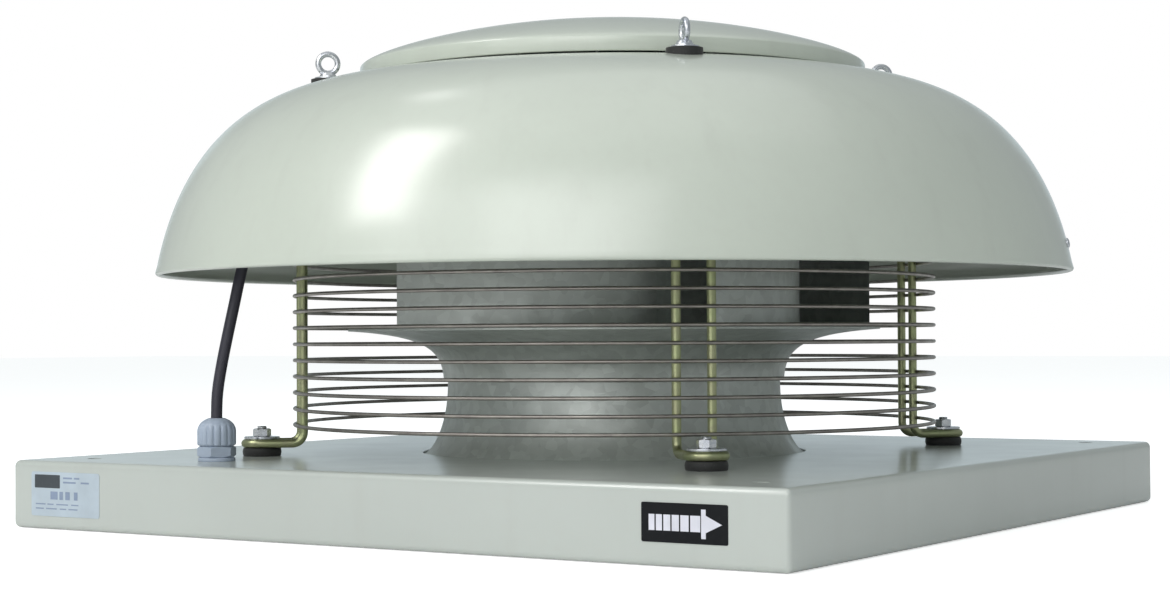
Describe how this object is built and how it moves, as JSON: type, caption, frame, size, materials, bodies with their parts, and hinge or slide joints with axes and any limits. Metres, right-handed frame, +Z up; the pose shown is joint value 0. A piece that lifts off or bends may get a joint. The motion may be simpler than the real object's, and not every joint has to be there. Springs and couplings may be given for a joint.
{
  "type": "roof exhaust fan",
  "caption": "Low domed exhaust fan: a backward-swept wheel under a spun cowl throws air out sideways through a wire guard, over a square base with a bell-mouth inlet.",
  "frame": {"origin": "centre of the square base at the height of its lower rim", "axes": "+Z up along the wheel's axis, -Y towards the side of the skirt with the labels, +X to the right as seen from there"},
  "size_m": [0.766, 0.766, 0.416],
  "materials": {
    "base_paint": "gloss",
    "dome_paint": "gloss",
    "galvanised": "satin",
    "zinc": "satin",
    "yellow_zinc": "satin",
    "guard_wire": "satin",
    "black_rubber": "matt",
    "motor_paint": "satin",
    "lamination": "matt",
    "copper": "satin",
    "bearing_steel": "polished",
    "brass_cage": "satin",
    "cast_aluminium": "matt",
    "terminal_plastic": "matt",
    "gland_plastic": "satin",
    "cable_sheath": "matt",
    "label_black": "satin",
    "label_blue": "satin"
  },
  "bodies": {
    "housing": {"base_plate": "base_paint", "inlet_nozzle": "galvanised", "weld_studs": "zinc", "m6_nuts": "zinc", "foot_pads": "black_rubber", "foot_bolts": "zinc", "foot_washers": "zinc", "m8_nuts": "zinc", "leg_front_left": "yellow_zinc", "leg_front_right": "yellow_zinc", "leg_rear_right": "yellow_zinc", "leg_rear_left": "yellow_zinc", "guard_rings": "guard_wire", "motor_plate": "galvanised", "motor_screws": "zinc", "motor_washers": "zinc", "lower_end_shield": "motor_paint", "motor_frame": "motor_paint", "upper_end_shield": "motor_paint", "tie_rods": "zinc", "stator_core": "lamination", "stator_windings": "copper", "outer_races": "bearing_steel", "wave_washer": "bearing_steel", "terminal_box": "motor_paint", "terminal_box_lid": "motor_paint", "terminal_block": "terminal_plastic", "lid_screws": "zinc", "box_gland": "terminal_plastic", "box_gland_nut": "terminal_plastic", "cable_gland": "gland_plastic", "cable_gland_nut": "gland_plastic", "cable_gland_locknut": "gland_plastic", "motor_cable": "cable_sheath", "cable_cores": "copper", "dome_posts": "galvanised", "dome_cowl": "dome_paint", "dome_rivet": "zinc", "dome_seal_washers": "black_rubber", "dome_washers": "zinc", "lifting_eyes": "zinc", "vent_lid": "dome_paint", "lid_spacers": "zinc", "arrow_label": "label_black", "rating_plate": "label_blue"},
    "wheel": {"inner_races": "bearing_steel", "motor_shaft": "bearing_steel", "rotor_core": "lamination", "rotor_end_rings": "cast_aluminium", "shaft_seal": "black_rubber", "shaft_key": "bearing_steel", "impeller_hub": "cast_aluminium", "hub_rivets": "zinc", "impeller_back_plate": "galvanised", "impeller_blades": "galvanised", "impeller_shroud": "galvanised", "hub_end_bolt": "zinc"},
    "lower_cage": {"lower_ball_cage": "brass_cage"},
    "upper_cage": {"upper_ball_cage": "brass_cage"}
  },
  "joints": [
    {"name": "wheel_spin", "type": "hinge", "parent": "housing", "child": "wheel", "pos_m": [0, 0, 0.2], "axis": [0, 0, 1], "continuous": true},
    {"name": "lower_cage_spin", "type": "hinge", "parent": "housing", "child": "lower_cage", "pos_m": [0, 0, 0.277], "axis": [0, 0, 1], "continuous": true},
    {"name": "upper_cage_spin", "type": "hinge", "parent": "housing", "child": "upper_cage", "pos_m": [0, 0, 0.383], "axis": [0, 0, 1], "continuous": true}
  ],
  "couplings": [
    {"joint": "lower_cage_spin", "follows": "wheel_spin", "ratio": 0.38},
    {"joint": "upper_cage_spin", "follows": "wheel_spin", "ratio": 0.38}
  ]
}
